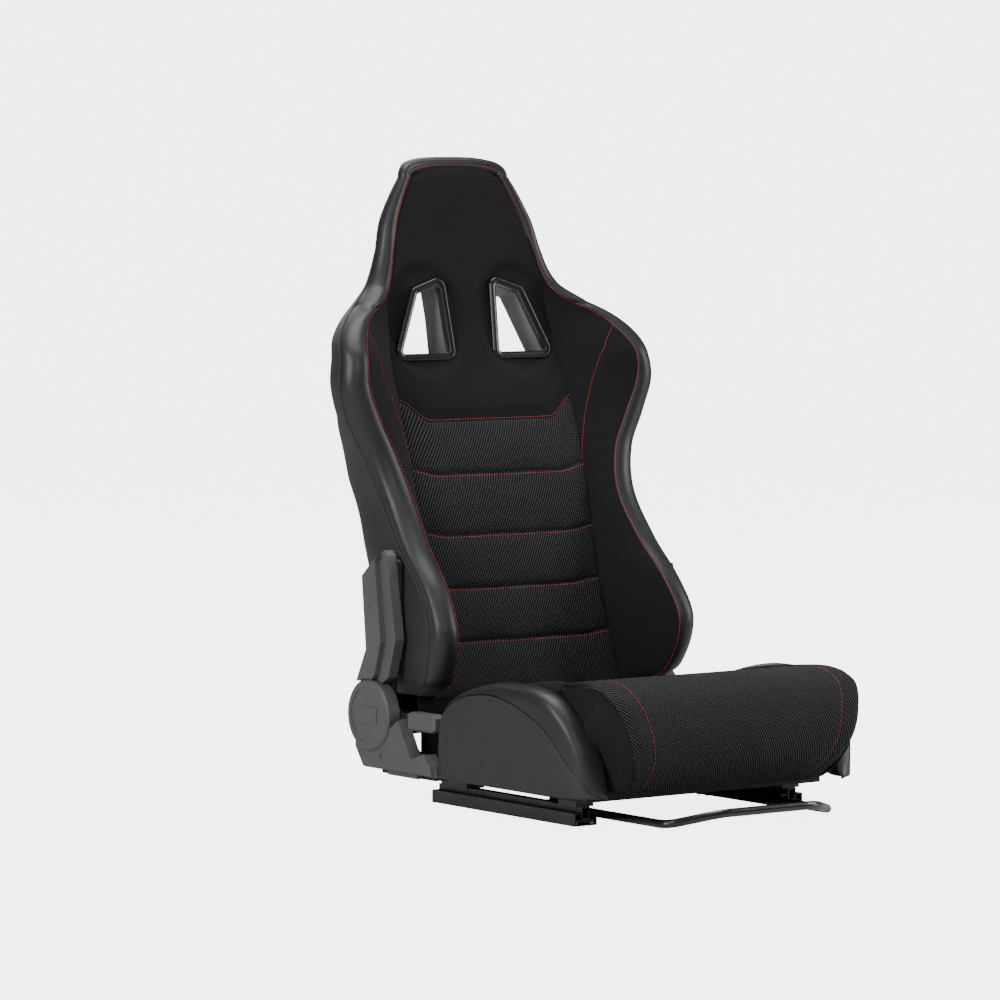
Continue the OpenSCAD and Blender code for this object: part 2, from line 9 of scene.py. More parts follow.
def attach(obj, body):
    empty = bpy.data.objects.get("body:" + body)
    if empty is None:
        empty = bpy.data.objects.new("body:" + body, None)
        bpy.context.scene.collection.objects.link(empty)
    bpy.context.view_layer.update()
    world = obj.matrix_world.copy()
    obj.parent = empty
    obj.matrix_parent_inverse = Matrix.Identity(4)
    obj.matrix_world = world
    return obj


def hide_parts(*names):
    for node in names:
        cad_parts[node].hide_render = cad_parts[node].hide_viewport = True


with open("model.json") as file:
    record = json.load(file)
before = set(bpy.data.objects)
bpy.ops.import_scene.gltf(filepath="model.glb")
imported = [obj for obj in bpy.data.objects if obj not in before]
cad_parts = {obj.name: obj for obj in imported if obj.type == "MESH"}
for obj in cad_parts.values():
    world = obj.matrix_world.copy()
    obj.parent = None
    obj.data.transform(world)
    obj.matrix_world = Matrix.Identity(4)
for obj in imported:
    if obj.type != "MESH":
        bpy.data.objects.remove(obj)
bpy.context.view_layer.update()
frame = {"nodes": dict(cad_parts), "record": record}
MM = 0.001

# ---------------------------------------------------------------- camera and studio

CAMERA_PLACE = (-4.35677, -5.70074, 0.90690)
CAMERA_TURN = 36.0758    # degrees to the right of +Y
CAMERA_DIP = 3.8153      # degrees below the horizon
LENS = 184.5
WORLD_LIGHT = 0.3
FLOOR_GLOW = 4.5         # brightens the floor for the camera without lighting the seat
FLAT_FLOOR = 9.0         # metres from the seat at which the floor starts to curve up


def aim_camera():
    data = bpy.data.cameras.new("studio_camera")
    data.lens = LENS
    data.sensor_width = 36
    data.clip_end = 100
    camera = bpy.data.objects.new("studio_camera", data)
    bpy.context.scene.collection.objects.link(camera)
    camera.location = CAMERA_PLACE
    camera.rotation_euler = (math.radians(90 - CAMERA_DIP), 0, math.radians(-CAMERA_TURN))
    bpy.context.scene.camera = camera


def soft_light(name, place, target, size, power):
    data = bpy.data.lights.new(name, "AREA")
    data.shape = "RECTANGLE"
    data.size, data.size_y = size
    data.energy = power
    lamp = bpy.data.objects.new(name, data)
    bpy.context.scene.collection.objects.link(lamp)
    lamp.location = place
    away = Vector(target) - Vector(place)
    lamp.rotation_euler = away.to_track_quat("-Z", "Y").to_euler()


def backdrop():
    """Floor that curves up into a wall on every side, well away from the seat."""
    bpy.ops.mesh.primitive_grid_add(x_subdivisions=60, y_subdivisions=60, size=40)
    floor = bpy.context.object
    floor.name = "studio_floor"
    for v in floor.data.vertices:
        far = max(math.hypot(v.co.x, v.co.y) - FLAT_FLOOR, 0)
        v.co.z = -0.0005 + far * far * 0.14
    for p in floor.data.polygons:
        p.use_smooth = True
    return floor


def studio():
    soft_light("left_softbox", (-3.2, -0.6, 1.9), (0, 0, 0.5), (0.8, 2.4), 105)
    soft_light("front_softbox", (-1.3, -3.6, 2.6), (0, 0, 0.4), (1.8, 1.2), 40)
    soft_light("top_softbox", (0.2, 0.4, 3.4), (0, 0, 0.4), (2.2, 2.2), 90)
    soft_light("right_softbox", (3.0, -1.4, 1.5), (0, 0, 0.5), (0.8, 2.2), 60)
    soft_light("back_softbox", (0.8, 3.4, 2.2), (0, 0, 0.5), (2.4, 1.6), 40)
    world = bpy.data.worlds.new("studio")
    bpy.context.scene.world = world
    world.use_nodes = True
    world.node_tree.nodes["Background"].inputs[0].default_value = (1, 1, 1, 1)
    world.node_tree.nodes["Background"].inputs[1].default_value = WORLD_LIGHT
    floor = backdrop()
    floor.data.materials.append(floor_paint())


# ---------------------------------------------------------------- material helpers

class Shader:
    """A principled material whose pattern nodes are added one by one."""

    def __init__(self, name, roughness, metallic=0.0, specular=0.5, coat=0.0, sheen=0.0):
        self.material = bpy.data.materials.new(name)
        self.material.use_nodes = True
        self.nodes = self.material.node_tree.nodes
        self.links = self.material.node_tree.links
        self.base = self.nodes["Principled BSDF"]
        self.base.inputs["Roughness"].default_value = roughness
        self.base.inputs["Metallic"].default_value = metallic
        self.base.inputs["Specular IOR Level"].default_value = specular
        self.base.inputs["Coat Weight"].default_value = coat
        self.base.inputs["Coat Roughness"].default_value = 0.25
        self.base.inputs["Sheen Weight"].default_value = sheen
        self.base.inputs["Sheen Roughness"].default_value = 0.5

    def add(self, kind, **values):
        node = self.nodes.new(kind)
        for key, value in values.items():
            setattr(node, key, value)
        return node

    def join(self, source, target):
        self.links.new(source, target)

    def place(self, uv=False):
        return self.add("ShaderNodeTexCoord").outputs["UV" if uv else "Object"]

    def math(self, operation, a, b=None):
        node = self.add("ShaderNodeMath", operation=operation)
        for socket, value in zip(node.inputs, (a, b)):
            if value is None:
                continue
            if isinstance(value, (int, float)):
                socket.default_value = value
            else:
                self.join(value, socket)
        return node.outputs[0]

    def noise(self, source, scale, detail=3.0, rough=0.55):
        node = self.add("ShaderNodeTexNoise")
        node.inputs["Scale"].default_value = scale
        node.inputs["Detail"].default_value = detail
        node.inputs["Roughness"].default_value = rough
        self.join(source, node.inputs["Vector"])
        return node.outputs["Fac"]

    def cells(self, source, scale, feature="DISTANCE_TO_EDGE"):
        node = self.add("ShaderNodeTexVoronoi", feature=feature)
        node.inputs["Scale"].default_value = scale
        self.join(source, node.inputs["Vector"])
        return node.outputs["Distance"]

    def ramp(self, source, stops):
        node = self.add("ShaderNodeValToRGB")
        band = node.color_ramp
        while len(band.elements) < len(stops):
            band.elements.new(0.5)
        for element, (place, colour) in zip(band.elements, stops):
            element.position = place
            element.color = (*colour, 1)
        self.join(source, node.inputs[0])
        return node.outputs[0]

    def colour(self, source, stops):
        self.join(self.ramp(source, stops), self.base.inputs["Base Color"])

    def gloss(self, source, low, high):
        node = self.add("ShaderNodeMapRange")
        node.inputs["To Min"].default_value = low
        node.inputs["To Max"].default_value = high
        self.join(source, node.inputs["Value"])
        self.join(node.outputs[0], self.base.inputs["Roughness"])

    def bump(self, source, strength, distance):
        node = self.add("ShaderNodeBump")
        node.inputs["Strength"].default_value = strength
        node.inputs["Distance"].default_value = distance
        self.join(source, node.inputs["Height"])
        last = self.base.inputs["Normal"]
        if last.is_linked:
            self.join(last.links[0].from_socket, node.inputs["Normal"])
        self.join(node.outputs[0], last)


def wave(shader, source, across, along, count):
    """Height 0..1 of stripes, count of them in a metre along the direction (across, along)."""
    split = shader.add("ShaderNodeSeparateXYZ")
    shader.join(source, split.inputs[0])
    turn = 2 * math.pi * count
    phase = shader.math("ADD", shader.math("MULTIPLY", split.outputs[0], across * turn),
                        shader.math("MULTIPLY", split.outputs[1], along * turn))
    return shader.math("MULTIPLY_ADD", shader.math("SINE", phase), 0.5)


# ---------------------------------------------------------------- materials

def floor_paint():
    s = Shader("studio_floor_paint", 0.85, specular=0.1)
    grain = s.noise(s.place(), 3.0)
    s.colour(grain, [(0.0, (0.6, 0.6, 0.605)), (1.0, (0.64, 0.64, 0.645))])
    s.base.inputs["Emission Color"].default_value = (1, 1, 1, 1)
    seen = s.math("MULTIPLY", s.add("ShaderNodeLightPath").outputs["Is Camera Ray"], FLOOR_GLOW)
    s.join(seen, s.base.inputs["Emission Strength"])
    return s.material


def mesh_fabric():
    """Spacer mesh: slanting ribs broken into short loops over a black ground."""
    s = Shader("spacer_mesh_fabric", 0.78, specular=0.2, sheen=0.0)
    uv = s.place(uv=True)
    rib = wave(s, uv, 0.88, -0.47, 262)
    loop = wave(s, uv, 0.35, 0.94, 330)
    cloud = s.noise(s.place(), 18.0)
    knot = s.math("MULTIPLY", s.math("POWER", rib, 1.6), s.math("MULTIPLY_ADD", loop, 0.7))
    height = s.math("ADD", knot, s.math("MULTIPLY", cloud, 0.12))
    s.colour(height, [(0.3, (0.0022, 0.0022, 0.0025)), (0.62, (0.014, 0.0143, 0.0155)),
                      (1.0, (0.085, 0.087, 0.093))])
    s.gloss(knot, 0.9, 0.62)
    s.bump(knot, 0.55, 0.0012)
    return s.material


def woven_cloth():
    """Fine flat weave, almost black, with a faint nap."""
    s = Shader("fine_woven_cloth", 0.92, specular=0.12, sheen=0.02)
    uv = s.place(uv=True)
    warp = wave(s, uv, 1.0, 0.0, 900)
    weft = wave(s, uv, 0.0, 1.0, 900)
    threads = s.math("MULTIPLY", warp, weft)
    fleck = s.noise(s.place(), 900.0, 2.0)
    cloud = s.noise(s.place(), 9.0)
    tone = s.math("ADD", s.math("MULTIPLY", fleck, 0.7), s.math("MULTIPLY", cloud, 0.3))
    s.colour(tone, [(0.25, (0.008, 0.008, 0.0088)), (0.75, (0.0145, 0.0145, 0.016))])
    s.bump(threads, 0.25, 0.0003)
    s.bump(fleck, 0.2, 0.0004)
    return s.material


def grained_leather(name, dark, light, roughness, grain=750.0):
    """Soft coated leather with a pebbled grain, long creases and slightly shinier high spots."""
    s = Shader(name, roughness, specular=0.42)
    spot = s.place()
    pebble = s.cells(spot, grain)
    crease = s.noise(spot, 42.0, 4.0, 0.6)
    cloud = s.noise(spot, 7.0)
    tone = s.math("ADD", s.math("MULTIPLY", crease, 0.45), s.math("MULTIPLY", cloud, 0.55))
    s.colour(tone, [(0.3, dark), (0.72, light)])
    s.gloss(tone, roughness + 0.08, roughness - 0.07)
    s.bump(pebble, 0.28, 0.0006)
    s.bump(crease, 0.12, 0.002)
    return s.material


def moulded_plastic(name, dark, light, roughness, grain=1400.0):
    """Moulded plastic with a fine spark-eroded texture and faint handling marks."""
    s = Shader(name, roughness, specular=0.45)
    spot = s.place()
    sand = s.noise(spot, grain, 2.0)
    cloud = s.noise(spot, 14.0)
    s.colour(s.math("ADD", s.math("MULTIPLY", sand, 0.5), s.math("MULTIPLY", cloud, 0.5)),
             [(0.3, dark), (0.7, light)])
    s.gloss(cloud, roughness + 0.06, roughness - 0.05)
    s.bump(sand, 0.35, 0.0004)
    return s.material


def powder_paint(name, dark, light, roughness, coat=0.0):
    s = Shader(name, roughness, specular=0.5, coat=coat)
    spot = s.place()
    peel = s.noise(spot, 480.0, 2.0)
    cloud = s.noise(spot, 12.0)
    s.colour(cloud, [(0.3, dark), (0.7, light)])
    s.gloss(cloud, roughness + 0.06, roughness - 0.05)
    s.bump(peel, 0.18, 0.0005)
    return s.material


def bare_metal(name, dark, light, roughness):
    s = Shader(name, roughness, metallic=1.0)
    spot = s.place()
    brush = s.noise(spot, 260.0, 4.0)
    s.colour(brush, [(0.3, dark), (0.7, light)])
    s.gloss(brush, roughness + 0.1, roughness - 0.08)
    s.bump(brush, 0.08, 0.0004)
    return s.material


def red_thread():
    s = Shader("red_thread", 0.55, specular=0.4, sheen=0.1)
    twist = s.noise(s.place(), 1600.0, 2.0)
    s.colour(twist, [(0.3, (0.34, 0.01, 0.01)), (0.7, (0.56, 0.022, 0.02))])
    s.bump(twist, 0.3, 0.0003)
    return s.material


MATERIALS = {
    "mesh_fabric": mesh_fabric(),
    "woven_cloth": woven_cloth(),
    "edge_leather": grained_leather("edge_leather", (0.0105, 0.0108, 0.0118),
                                    (0.0165, 0.017, 0.0185), 0.4),
    "side_vinyl": grained_leather("side_vinyl", (0.015, 0.0155, 0.0172),
                                  (0.021, 0.0216, 0.024), 0.56, 1100.0),
    "grey_cover_plastic": moulded_plastic("grey_cover_plastic", (0.06, 0.0615, 0.0635),
                                          (0.075, 0.077, 0.08), 0.55),
    "liner_plastic": moulded_plastic("liner_plastic", (0.13, 0.13, 0.134),
                                     (0.16, 0.16, 0.165), 0.55),
    "bezel_plastic": moulded_plastic("bezel_plastic", (0.006, 0.0068, 0.0082),
                                     (0.01, 0.0112, 0.0135), 0.24, 500.0),
    "rail_paint": powder_paint("rail_paint", (0.024, 0.024, 0.025),
                               (0.034, 0.034, 0.036), 0.36),
    "frame_paint": powder_paint("frame_paint", (0.006, 0.006, 0.0065),
                                (0.01, 0.01, 0.011), 0.55),
    "bar_gloss_paint": powder_paint("bar_gloss_paint", (0.005, 0.005, 0.0055),
                                    (0.008, 0.008, 0.009), 0.2, 0.4),
    "dark_fasteners": powder_paint("dark_fasteners", (0.03, 0.03, 0.033),
                                   (0.05, 0.05, 0.055), 0.4),
    "recliner_steel": bare_metal("recliner_steel", (0.12, 0.12, 0.125), (0.2, 0.2, 0.21), 0.4),
    "bare_shaft": bare_metal("bare_shaft", (0.4, 0.4, 0.41), (0.55, 0.55, 0.56), 0.32),
    "spring_wire": bare_metal("spring_wire", (0.3, 0.3, 0.31), (0.42, 0.42, 0.43), 0.38),
    "stop_rubber": moulded_plastic("stop_rubber", (0.012, 0.012, 0.012),
                                   (0.02, 0.02, 0.02), 0.8),
    "glide_nylon": moulded_plastic("glide_nylon", (0.6, 0.58, 0.52), (0.7, 0.68, 0.62), 0.5),
}
THREAD = red_thread()


def dress_cad_nodes():
    """Every CAD node that stays gets the material of its slot."""
    for part in frame["record"]["subparts"]:
        node = frame["nodes"][part["node"]]
        node.data.materials.clear()
        node.data.materials.append(MATERIALS[part["material_slot"]])


# ---------------------------------------------------------------- outlines, as in the CAD

PANEL_LINE = [(142, 198), (223, 220), (298, 240), (375, 258), (464, 280), (559, 312), (627, 341),
              (732, 365), (820, 383), (904, 399)]
REAR_LINE = [(142, 300), (241, 330), (332, 352), (389, 365), (445, 385), (537, 394), (605, 400),
             (680, 407), (732, 416), (825, 434), (880, 430), (904, 416)]
# height, centre X, centre Y, radius and inner seam direction of the padded edge roll
ROLL_LINE = [(148, 194, 190, 12, 240), (166, 201, 158, 21, 236), (182, 204, 144, 22, 234),
             (219, 208, 130, 23, 234), (255, 209, 131, 23, 234), (304, 204, 161, 23.5, 234),
             (356, 200, 212, 25, 234), (423, 196, 260, 27, 236), (485, 209, 284, 28, 237),
             (537, 233, 289, 28, 236), (585, 250, 286, 25, 237), (624, 248, 289, 23, 245),
             (650, 240, 305, 22, 236), (677, 219, 325, 18, 215), (704, 175, 356, 20, 214),
             (725, 149, 373, 19, 243), (774, 127, 384, 16, 262), (825, 110, 392, 13, 266),
             (880, 82, 397, 8, 262), (896, 64, 402, 7, 262)]
EDGE_LINE = [(142, 166), (223, 160), (298, 155), (559, 155), (715, 143), (904, 143)]
CORNER_LINE = [(142, 4.5), (450, 4.5), (540, 2.4), (904, 2.2)]
HEAD_Z = 880.0           # above this the edge roll turns over the top of the head
TOP_Z = 897.0
TOP_Y = 405.0


def straight(table, z, column=1):
    """Value on the straight lines through a table whose first column is the height."""
    z = min(max(z, table[0][0]), table[-1][0])
    for low, high in zip(table, table[1:]):
        if z <= high[0]:
            return low[column] + (high[column] - low[column]) * (z - low[0]) / (high[0] - low[0])
    return table[-1][column]


def curve(table, z, column=1):
    """Value on the smooth curve through a table, the same curve as the CAD's."""
    z = min(max(z, table[0][0]), table[-1][0])
    i = next((k for k in range(len(table) - 2) if z < table[k + 1][0]), len(table) - 2)

    def grade(k):
        a, b = table[max(k - 1, 0)], table[min(k + 1, len(table) - 1)]
        return (b[column] - a[column]) / (b[0] - a[0])

    step = table[i + 1][0] - table[i][0]
    u = (z - table[i][0]) / step
    v = u * u * (3 - 2 * u)
    return (table[i][column] * (1 - v) + table[i + 1][column] * v
            + step * (u * (1 - u) ** 2 * grade(i) - u * u * (1 - u) * grade(i + 1)))


def roll_point(z, angle, grow=0.0):
    """Point on the edge roll of the +X side in the level section at height z."""
    a = math.radians(angle)
    r = curve(ROLL_LINE, z, 3) + grow
    x, y = curve(ROLL_LINE, z, 1), curve(ROLL_LINE, z, 2)
    return Vector((x + r * math.cos(a), y + r * math.sin(a), z))


def seam_angle(z):
    return straight(ROLL_LINE, z, 4)


def over_head(turn, angle, grow=0.0):
    """Point on the edge roll over the head; turn is 0 at the side and 90 at the middle."""
    t = math.radians(turn)
    cx, cy, r = (curve(ROLL_LINE, HEAD_Z, c) for c in (1, 2, 3))
    a = math.radians(angle)
    r = r + grow
    high = TOP_Z - HEAD_Z
    middle = Vector((cx * math.cos(t) ** 0.62,
                     cy + (TOP_Y - cy) * math.sin(t),
                     HEAD_Z + high * math.sin(t) ** 0.8))
    out = Vector((high * math.cos(t) + 0.001, 0, cx * 0.6 * math.sin(t))).normalized()
    return middle + r * (math.cos(a) * out + math.sin(a) * Vector((0, 1, 0)))


def edge_x(z):
    return min(curve(EDGE_LINE, z), roll_point(min(z, HEAD_Z), seam_angle(z)).x)


def smooth_step(t):
    t = min(max(t, 0.0), 1.0)
    return t * t * (3 - 2 * t)


def bell(value, centre, width):
    """1 at centre, falling smoothly to 0 about two widths away."""
    return math.exp(-((value - centre) / width) ** 2)


def pillow(t, sharp=0.5):
    """0 at both ends of a sewn panel and 1 in its middle, with a steep rise at the seams."""
    t = min(max(t, 0.0), 1.0)
    return (4 * t * (1 - t)) ** sharp


# ---------------------------------------------------------------- mesh helpers

def pick_nothing():
    for o in bpy.context.selected_objects:
        o.select_set(False)


def use(obj):
    pick_nothing()
    obj.select_set(True)
    bpy.context.view_layer.objects.active = obj


def apply_modifiers(obj):
    use(obj)
    for modifier in list(obj.modifiers):
        bpy.ops.object.modifier_apply(modifier=modifier.name)


def settle(obj):
    """Moves an object's place into its mesh."""
    use(obj)
    bpy.ops.object.transform_apply(location=True, rotation=True, scale=True)


def smooth(obj, angle=40):
    use(obj)
    bpy.ops.object.shade_smooth_by_angle(angle=math.radians(angle))


def cloth_grid(name, across, along, place, size=(1.0, 1.0)):
    """Grid laid over the surface place(u, v), which is in millimetres; its UV map is in metres."""
    pick_nothing()
    bpy.ops.mesh.primitive_grid_add(x_subdivisions=across, y_subdivisions=along, size=1)
    obj = bpy.context.object
    obj.name = name
    mesh = obj.data
    flat = [(v.co.x + 0.5, v.co.y + 0.5) for v in mesh.vertices]
    for v, (a, b) in zip(mesh.vertices, flat):
        v.co = place(a, b) * MM
    layer = mesh.uv_layers.active.data
    for loop in mesh.loops:
        a, b = flat[loop.vertex_index]
        layer[loop.index].uv = (a * size[0], b * size[1])
    return obj


def weld(obj, distance=0.00005):
    use(obj)
    bpy.ops.object.mode_set(mode="EDIT")
    bpy.ops.mesh.select_all(action="SELECT")
    bpy.ops.mesh.remove_doubles(threshold=distance)
    bpy.ops.mesh.normals_make_consistent(inside=False)
    bpy.ops.object.mode_set(mode="OBJECT")


def face_towards(obj, direction):
    """Turns an open sheet's faces over if most of them look away from direction."""
    total = Vector((0, 0, 0))
    for p in obj.data.polygons:
        total += p.normal * p.area
    if total.dot(Vector(direction)) < 0:
        use(obj)
        bpy.ops.object.mode_set(mode="EDIT")
        bpy.ops.mesh.select_all(action="SELECT")
        bpy.ops.mesh.flip_normals()
        bpy.ops.object.mode_set(mode="OBJECT")


def thicken(obj, millimetres):
    """Gives an open sheet a body behind its outer face."""
    solid = obj.modifiers.new("body", "SOLIDIFY")
    solid.thickness = millimetres * MM
    solid.offset = -1
    solid.use_even_offset = False
    apply_modifiers(obj)


def bridge(bm, one, two):
    """Four-sided faces between two closed rings of vertices."""
    for k in range(len(one)):
        m = (k + 1) % len(one)
        bm.faces.new((one[k], one[m], two[m], two[k]))


def object_from(bm, name):
    """Turns a finished bmesh into an object of the scene."""
    mesh = bpy.data.meshes.new(name)
    bm.to_mesh(mesh)
    bm.free()
    obj = bpy.data.objects.new(name, mesh)
    bpy.context.scene.collection.objects.link(obj)
    return obj


def mirrored(obj, name):
    """A copy of a piece on the other side of the seat."""
    twin = obj.copy()
    twin.data = obj.data.copy()
    twin.name = name
    bpy.context.scene.collection.objects.link(twin)
    twin.data.transform(Matrix.Scale(-1, 4, (1, 0, 0)))
    twin.data.flip_normals()
    return twin


def finish_piece(obj, body, slot, *nodes, fill=None):
    obj.data.materials.clear()
    obj.data.materials.append(MATERIALS[slot])
    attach(obj, body)
    if nodes:
        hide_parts(*nodes)


def stitch_template():
    """One thread stitch, 3.4 mm long, lying along X."""
    pick_nothing()
    bpy.ops.mesh.primitive_cylinder_add(vertices=6, radius=0.5 * MM, depth=2.4 * MM,
                                        end_fill_type="TRIFAN", rotation=(0, math.pi / 2, 0))
    obj = bpy.context.object
    settle(obj)
    for v in obj.data.vertices:
        if v.co.y ** 2 + v.co.z ** 2 < 1e-9:
            v.co.x *= 1.4
        v.co.z *= 0.8
    return obj


def sew(name, body, lines, lift=0.35, pitch=4.6):
    """Lays stitches along lines of (point, outward normal) in millimetres, as one piece."""
    template = stitch_template()
    points = [v.co.copy() for v in template.data.vertices]
    faces = [tuple(p.vertices) for p in template.data.polygons]
    bm = bmesh.new()
    for line in lines:
        run = 0.0
        nearest = 0.0
        for (p, n), (q, m) in zip(line, line[1:]):
            gap = (q - p).length
            while nearest <= run + gap and gap > 1e-6:
                t = (nearest - run) / gap
                along = (q - p).normalized()
                up = (n * (1 - t) + m * t).normalized()
                side = up.cross(along).normalized()
                up = along.cross(side)
                turn = Matrix((along, side, up)).transposed()
                spot = (p + (q - p) * t + up * lift) * MM
                made = [bm.verts.new(turn @ c + spot) for c in points]
                for f in faces:
                    bm.faces.new([made[k] for k in f])
                nearest += pitch
            run += gap
    bpy.data.objects.remove(template)
    obj = object_from(bm, name)
    obj.data.materials.append(THREAD)
    smooth(obj, 60)
    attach(obj, body)
    return obj


def seam_line(surface, route):
    """Points and outward normals of surface(u, v) along a route of (u, v) pairs."""
    line = []
    for a, b in route:
        p = surface(a, b)
        h = 0.002
        du = surface(min(a + h, 1), b) - surface(max(a - h, 0), b)
        dv = surface(a, min(b + h, 1)) - surface(a, max(b - h, 0))
        n = du.cross(dv)
        line.append((p, n.normalized() if n.length > 1e-9 else Vector((0, -1, 0))))
    return line


def flip(line):
    return [(Vector((-p.x, p.y, p.z)), Vector((-n.x, n.y, n.z))) for p, n in line]


def even(start, stop, count):
    return [start + (stop - start) * k / count for k in range(count + 1)]


# ---------------------------------------------------------------- backrest

MIDDLE_SEAMS = [(142, 142), (223, 219), (299, 293), (375, 368), (464, 455), (559, 529)]
PAD_TOP = 900            # height at which the pad over the head ends


def seam_height(k, x):
    """Height of cross seam k of the mesh middle; the upper ones drop towards a flat middle."""
    side, centre = MIDDLE_SEAMS[k]
    return side + (centre - side) * smooth_step((157 - abs(x)) / 52)


def panel_front(x, z):
    """Front of the backrest middle before its sections are puffed."""
    w = edge_x(z)
    side = roll_point(z, seam_angle(z)).y if z < HEAD_Z else curve(PANEL_LINE, z)
    base = curve(PANEL_LINE, z)
    lift = smooth_step((z - 700) / 40)
    return base + (side - base) * abs(x / w) ** 3 * lift - 3.5 * (1 - (x / w) ** 2)


def middle_section(k):
    """Surface of one section of the mesh middle between two cross seams."""
    def place(a, b):
        x_unit = 2 * a - 1
        z_mid = (MIDDLE_SEAMS[k][0] + MIDDLE_SEAMS[k + 1][0]) / 2
        x = x_unit * (edge_x(z_mid) - 1)
        low, high = seam_height(k, x), seam_height(k + 1, x)
        z = low + (high - low) * b
        x = x_unit * (edge_x(z) - 0.6)
        puff = 6.5 * pillow(b, 0.42) * pillow((x_unit + 1) / 2, 0.3)
        crease = 0.9 * math.sin(x / 17.0 + k * 2.1) * bell(b, 0.04, 0.12)
        return Vector((x, panel_front(x, z) + 3.4 - puff - crease, z))
    return place


def middle_panel():
    sections = []
    lines = []
    for k in range(5):
        place = middle_section(k)
        sections.append(cloth_grid("mesh_middle", 64, 18, place, (0.31, 0.08)))
        if k:
            below = middle_section(k - 1)
            lines.append(seam_line(below, [(a, 0.955) for a in even(0.012, 0.988, 90)]))
    top = [(p + Vector((0, -0.6, 2.2)), n)
           for p, n in seam_line(middle_section(4), [(a, 1.0) for a in even(0.012, 0.988, 90)])]
    lines.append(top)
    use(sections[0])
    for other in sections[1:]:
        other.select_set(True)
    bpy.ops.object.join()
    obj = bpy.context.object
    weld(obj)
    face_towards(obj, (0, -1, 0))
    thicken(obj, 16)
    smooth(obj, 70)
    finish_piece(obj, "backrest", "mesh_fabric", "middle_panel", fill=0.7)
    facing = [[(p, Vector((0, -1, 0.25)).normalized()) for p, n in line] for line in lines]
    sew("middle_stitches", "backrest", facing)


def upper_front(a, b):
    """Surface of the woven pad over the shoulders and the head."""
    x_unit = 2 * a - 1
    low = seam_height(5, x_unit * 155)
    z = low + (PAD_TOP - low) * b
    w = edge_x(z) - 0.6
    if z > HEAD_Z:
        t = (z - HEAD_Z) / (PAD_TOP - HEAD_Z)
        w = edge_x(HEAD_Z) * math.sqrt(max(1 - t * t * 0.98, 0.02))
    x = x_unit * w
    puff = 4.0 * pillow(a, 0.35) * smooth_step(b / 0.06) * smooth_step((1 - b) / 0.05)
    from_slot = math.hypot((abs(x) - 81) / 52, (z - 672) / 62)
    dip = 6.5 * smooth_step((1.42 - from_slot) / 0.32)
    return Vector((x, panel_front(x, min(z, 896)) + 3.0 - puff + dip, z))


SLOT_TILT = math.radians(10.8)
SLOT_Z = 680             # height of the slot centre
SLOT_ROUND = 14          # how far the outline stands round its corner points
SLOT_CORNERS = [(54, 719.5), (88, 708), (123, 628), (48.5, 628)]
RIM_PROFILE = [(-0.4, 3.0), (-1.2, -1.4), (-0.6, -3.2), (1.0, -4.6), (3.0, -5.0), (8.2, -4.4),
               (10.2, -3.2), (10.8, 0.5), (10.8, 7.0), (3.0, 7.0)]
WELL_PROFILE = [(10.9, 1.0), (11.0, 3.0), (11.2, 20.0), (11.4, 44.0), (11.4, 46.0), (8.6, 46.0),
                (8.6, 1.0)]


def slot_ring(inset, count=12):
    """Outline of the belt slot in its own plane, as (x, height from the slot centre)."""
    r = max(SLOT_ROUND - inset, 4)
    ring = []
    n = len(SLOT_CORNERS)
    for i in range(n):
        before, here, after = (Vector(SLOT_CORNERS[j % n]) for j in (i - 1, i, i + 1))
        start = math.atan2((here - before).x, -(here - before).y)
        stop = math.atan2((after - here).x, -(after - here).y)
        while stop > start:
            stop -= 2 * math.pi
        for k in range(count + 1):
            t = start + (stop - start) * k / count
            ring.append((here.x + r * math.cos(t), here.y - SLOT_Z + r * math.sin(t)))
    return ring


def slot_point(x, height, depth):
    """Point at a depth behind the slot's front plane, in millimetres."""
    c, s = math.cos(SLOT_TILT), math.sin(SLOT_TILT)
    y0 = curve(PANEL_LINE, SLOT_Z)
    return Vector((x, y0 + height * s + depth * c, SLOT_Z + height * c - depth * s))


def slot_wall(name, profile, closed=True, mirror=False):
    """A ring swept round the belt slot; profile is a list of (inset, depth)."""
    rings = [[slot_point(x, h, depth) for x, h in slot_ring(inset)] for inset, depth in profile]
    bm = bmesh.new()
    verts = [[bm.verts.new(p * MM) for p in ring] for ring in rings]
    for one, two in zip(verts, verts[1:]):
        bridge(bm, one, two)
    if closed:
        bridge(bm, verts[-1], verts[0])
    else:
        bm.faces.new(verts[0])
        bm.faces.new(verts[-1])
    bmesh.ops.recalc_face_normals(bm, faces=bm.faces[:])
    obj = object_from(bm, name)
    if not mirror:
        return obj
    twin = mirrored(obj, name + "_mirror")
    bpy.data.objects.remove(obj)
    return twin


def cut(obj, tool):
    hole = obj.modifiers.new("hole", "BOOLEAN")
    hole.operation = "DIFFERENCE"
    hole.solver = "EXACT"
    hole.object = tool
    apply_modifiers(obj)


def cut_slots(obj, inset):
    for mirror in (False, True):
        tool = slot_wall("slot_cutter", [(inset, -70), (inset, 190)], closed=False, mirror=mirror)
        cut(obj, tool)
        bpy.data.objects.remove(tool)


def upper_pad():
    obj = cloth_grid("shoulder_and_head_cloth", 72, 110, upper_front, (0.26, 0.36))
    face_towards(obj, (0, -1, 0))
    thicken(obj, 15)
    cut_slots(obj, 0.6)
    smooth(obj, 55)
    finish_piece(obj, "backrest", "woven_cloth", "upper_pad", fill=0.7)


def slot_trims():
    for side, mirror in (("left", False), ("right", True)):
        bezel = slot_wall("slot_rim_" + side, RIM_PROFILE, mirror=mirror)
        smooth(bezel, 35)
        finish_piece(bezel, "backrest", "bezel_plastic", "slot_bezel_" + side)
        liner = slot_wall("slot_well_" + side, WELL_PROFILE, mirror=mirror)
        smooth(liner, 30)
        finish_piece(liner, "backrest", "liner_plastic", "slot_liner_" + side)


